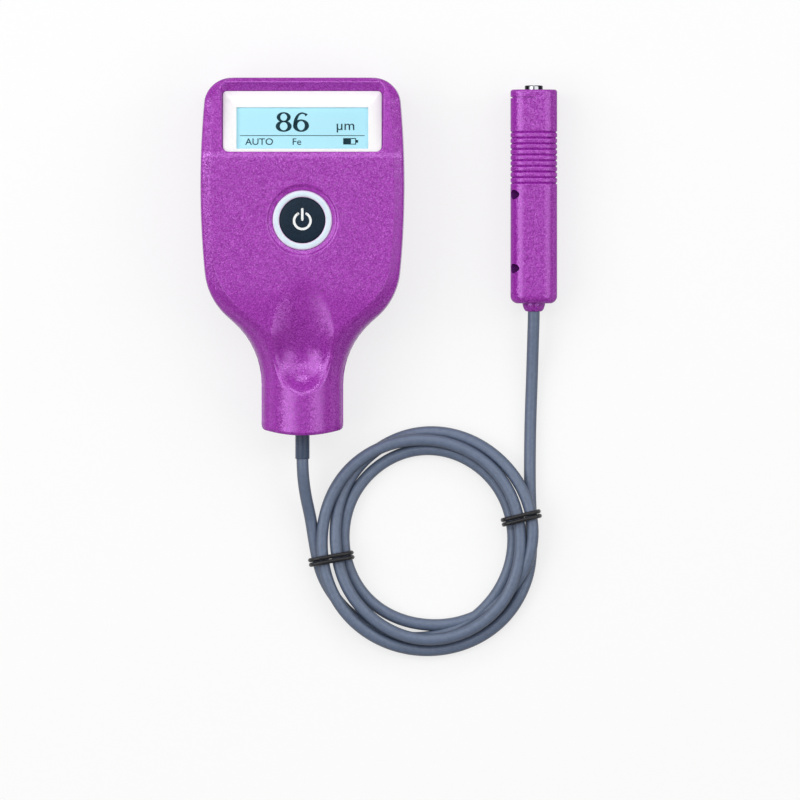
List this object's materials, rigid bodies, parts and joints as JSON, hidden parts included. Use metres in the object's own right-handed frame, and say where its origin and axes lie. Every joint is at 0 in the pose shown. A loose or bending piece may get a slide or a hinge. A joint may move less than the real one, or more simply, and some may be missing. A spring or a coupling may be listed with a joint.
{
  "type": "coating thickness gauge",
  "caption": "Purple handheld coating thickness gauge with a display, a power button and a separate ribbed probe on a coiled lead.",
  "frame": {"origin": "centre of the flat back face, half way along the gauge body", "axes": "+Z out of the button face, +Y towards the display end, +X towards the probe"},
  "size_m": [0.1101, 0.179, 0.028],
  "materials": {
    "purple_shell": "speckled metallic paint",
    "window_mask": "gloss",
    "display_glass": "gloss",
    "white_plastic": "matt",
    "flex_film": "satin",
    "pale_ring": "gloss",
    "black_button": "satin",
    "black_plastic": "matt",
    "board_green": "satin",
    "plain_steel": "plain",
    "dark_steel": "blackened",
    "cell_jacket": "gloss",
    "dark_sleeve": "matt",
    "brass_bush": "turned",
    "polished_tip": "polished",
    "copper_wire": "varnished",
    "cord_jacket": "satin",
    "tie_black": "satin"
  },
  "bodies": {
    "gauge": {"front_housing": "purple_shell", "rear_housing": "purple_shell", "display_window": "window_mask", "display_glass": "display_glass", "backlight": "white_plastic", "display_flex": "flex_film", "button_ring": "pale_ring", "tact_switch": "black_plastic", "main_board": "board_green", "board_chips": "black_plastic", "radio_module": "plain_steel", "battery_left": "cell_jacket", "battery_right": "cell_jacket", "contact_plus": "plain_steel", "contact_minus": "plain_steel", "contact_bridge": "plain_steel", "housing_screws": "plain_steel", "board_screws": "plain_steel", "cable_sleeve": "dark_sleeve", "probe_housing_left": "purple_shell", "probe_housing_right": "purple_shell", "probe_screws": "dark_steel", "guide_bush": "brass_bush", "tip_spring": "plain_steel", "cable_stop": "dark_sleeve", "cord_lead": "cord_jacket", "cord_coil": "cord_jacket", "probe_lead": "cord_jacket", "coil_tie_left": "tie_black", "coil_tie_right": "tie_black"},
    "button": {"power_button": "black_button", "switch_plunger": "black_plastic"},
    "door": {"battery_door": "purple_shell"},
    "tip": {"tip_sleeve": "polished_tip", "tip_core": "plain_steel", "tip_winding": "copper_wire"}
  },
  "joints": [
    {"name": "button_press", "type": "slide", "parent": "gauge", "child": "button", "axis": [0, 0, -1], "range_m": [0, 0.0005], "stiffness_N_per_m": 2000},
    {"name": "door_slide", "type": "slide", "parent": "gauge", "child": "door", "axis": [0, 1, 0], "range_m": [0, 0.054]},
    {"name": "tip_press", "type": "slide", "parent": "gauge", "child": "tip", "axis": [0, -1, 0], "range_m": [0, 0.0012], "stiffness_N_per_m": 600, "deforming": ["tip_spring"]}
  ]
}
